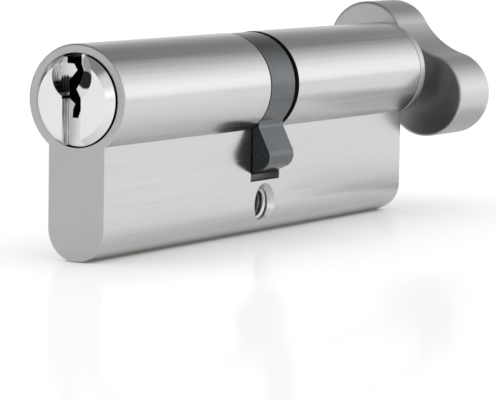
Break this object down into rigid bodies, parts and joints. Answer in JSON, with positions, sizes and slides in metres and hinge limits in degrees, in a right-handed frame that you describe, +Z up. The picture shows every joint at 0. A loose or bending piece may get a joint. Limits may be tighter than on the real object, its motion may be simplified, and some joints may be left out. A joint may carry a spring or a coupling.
{
  "type": "euro profile lock cylinder",
  "caption": "Euro profile lock cylinder with a key side and a thumbturn side: round head over a flat leg, a turning cam in its middle slot and a threaded fixing hole below it.",
  "frame": {"origin": "centre of the fixing screw hole, from which both half lengths are measured", "axes": "+X along the fixing screw hole, +Y along the plug's axis towards the thumbturn, +Z up towards the round head"},
  "size_m": [0.0266, 0.1203, 0.0363],
  "materials": {
    "body_nickel": "satin nickel plate over brass, fine lengthwise brushing",
    "plug_nickel": "polished nickel plate over brass",
    "knob_nickel": "fine satin nickel plate",
    "spindle_nickel": "turned, nickel plated brass",
    "cam_steel": "blue-grey steel, semi-matt",
    "pin_brass": "turned brass",
    "spring_steel": "bright spring wire",
    "dark_steel": "blackened spring steel"
  },
  "bodies": {
    "housing": {"cylinder_body": "body_nickel", "chamber_plug_1": "pin_brass", "chamber_plug_2": "pin_brass", "chamber_plug_3": "pin_brass", "chamber_plug_4": "pin_brass", "chamber_plug_5": "pin_brass", "chamber_plug_6": "pin_brass", "pin_spring_1": "spring_steel", "pin_spring_2": "spring_steel", "pin_spring_3": "spring_steel", "pin_spring_4": "spring_steel", "pin_spring_5": "spring_steel", "pin_spring_6": "spring_steel"},
    "key_plug": {"key_plug": "plug_nickel", "plug_circlip": "dark_steel"},
    "thumbturn": {"knob_spindle": "spindle_nickel", "thumbturn_knob": "knob_nickel", "knob_grub_screw": "dark_steel", "spindle_circlip": "dark_steel", "clutch_spring": "spring_steel"},
    "cam": {"cam": "cam_steel"},
    "key_side_clutch": {"key_side_clutch": "cam_steel"},
    "knob_side_clutch": {"knob_side_clutch": "cam_steel"},
    "key_pin_1": {"key_pin_1": "pin_brass"},
    "key_pin_2": {"key_pin_2": "pin_brass"},
    "key_pin_3": {"key_pin_3": "pin_brass"},
    "key_pin_4": {"key_pin_4": "pin_brass"},
    "key_pin_5": {"key_pin_5": "pin_brass"},
    "key_pin_6": {"key_pin_6": "pin_brass"},
    "driver_pin_1": {"driver_pin_1": "pin_brass"},
    "driver_pin_2": {"driver_pin_2": "pin_brass"},
    "driver_pin_3": {"driver_pin_3": "pin_brass"},
    "driver_pin_4": {"driver_pin_4": "pin_brass"},
    "driver_pin_5": {"driver_pin_5": "pin_brass"},
    "driver_pin_6": {"driver_pin_6": "pin_brass"}
  },
  "joints": [
    {"name": "key_plug_turn", "type": "hinge", "parent": "housing", "child": "key_plug", "pos_m": [0, 0, 0.01935], "axis": [0, 1, 0], "continuous": true},
    {"name": "thumbturn_turn", "type": "hinge", "parent": "housing", "child": "thumbturn", "pos_m": [0, 0, 0.01935], "axis": [0, 1, 0], "continuous": true},
    {"name": "cam_turn", "type": "hinge", "parent": "housing", "child": "cam", "pos_m": [0, 0, 0.01935], "axis": [0, 1, 0], "continuous": true},
    {"name": "clutch_shift", "type": "slide", "parent": "key_plug", "child": "key_side_clutch", "axis": [0, 1, 0], "range_m": [0, 0.0018]},
    {"name": "knob_side_clutch_shift", "type": "slide", "parent": "thumbturn", "child": "knob_side_clutch", "axis": [0, 1, 0], "range_m": [0, 0.0018], "stiffness_N_per_m": 250, "springref_m": -0.004, "deforming": ["clutch_spring"]},
    {"name": "key_pin_1_lift", "type": "slide", "parent": "key_plug", "child": "key_pin_1", "axis": [0, 0, 1], "range_m": [0, 0.002]},
    {"name": "key_pin_2_lift", "type": "slide", "parent": "key_plug", "child": "key_pin_2", "axis": [0, 0, 1], "range_m": [0, 0.002]},
    {"name": "key_pin_3_lift", "type": "slide", "parent": "key_plug", "child": "key_pin_3", "axis": [0, 0, 1], "range_m": [0, 0.002]},
    {"name": "key_pin_4_lift", "type": "slide", "parent": "key_plug", "child": "key_pin_4", "axis": [0, 0, 1], "range_m": [0, 0.002]},
    {"name": "key_pin_5_lift", "type": "slide", "parent": "key_plug", "child": "key_pin_5", "axis": [0, 0, 1], "range_m": [0, 0.002]},
    {"name": "key_pin_6_lift", "type": "slide", "parent": "key_plug", "child": "key_pin_6", "axis": [0, 0, 1], "range_m": [0, 0.002]},
    {"name": "driver_pin_1_press", "type": "slide", "parent": "housing", "child": "driver_pin_1", "axis": [0, 0, 1], "range_m": [-0.0025, 0], "stiffness_N_per_m": 150, "springref_m": 0.008, "deforming": ["pin_spring_1"]},
    {"name": "driver_pin_2_press", "type": "slide", "parent": "housing", "child": "driver_pin_2", "axis": [0, 0, 1], "range_m": [-0.0025, 0], "stiffness_N_per_m": 150, "springref_m": 0.008, "deforming": ["pin_spring_2"]},
    {"name": "driver_pin_3_press", "type": "slide", "parent": "housing", "child": "driver_pin_3", "axis": [0, 0, 1], "range_m": [-0.0025, 0], "stiffness_N_per_m": 150, "springref_m": 0.008, "deforming": ["pin_spring_3"]},
    {"name": "driver_pin_4_press", "type": "slide", "parent": "housing", "child": "driver_pin_4", "axis": [0, 0, 1], "range_m": [-0.0025, 0], "stiffness_N_per_m": 150, "springref_m": 0.008, "deforming": ["pin_spring_4"]},
    {"name": "driver_pin_5_press", "type": "slide", "parent": "housing", "child": "driver_pin_5", "axis": [0, 0, 1], "range_m": [-0.0025, 0], "stiffness_N_per_m": 150, "springref_m": 0.008, "deforming": ["pin_spring_5"]},
    {"name": "driver_pin_6_press", "type": "slide", "parent": "housing", "child": "driver_pin_6", "axis": [0, 0, 1], "range_m": [-0.0025, 0], "stiffness_N_per_m": 150, "springref_m": 0.008, "deforming": ["pin_spring_6"]}
  ],
  "couplings": [
    {"joint": "cam_turn", "follows": "thumbturn_turn", "ratio": 1},
    {"joint": "knob_side_clutch_shift", "follows": "clutch_shift", "ratio": 1}
  ]
}
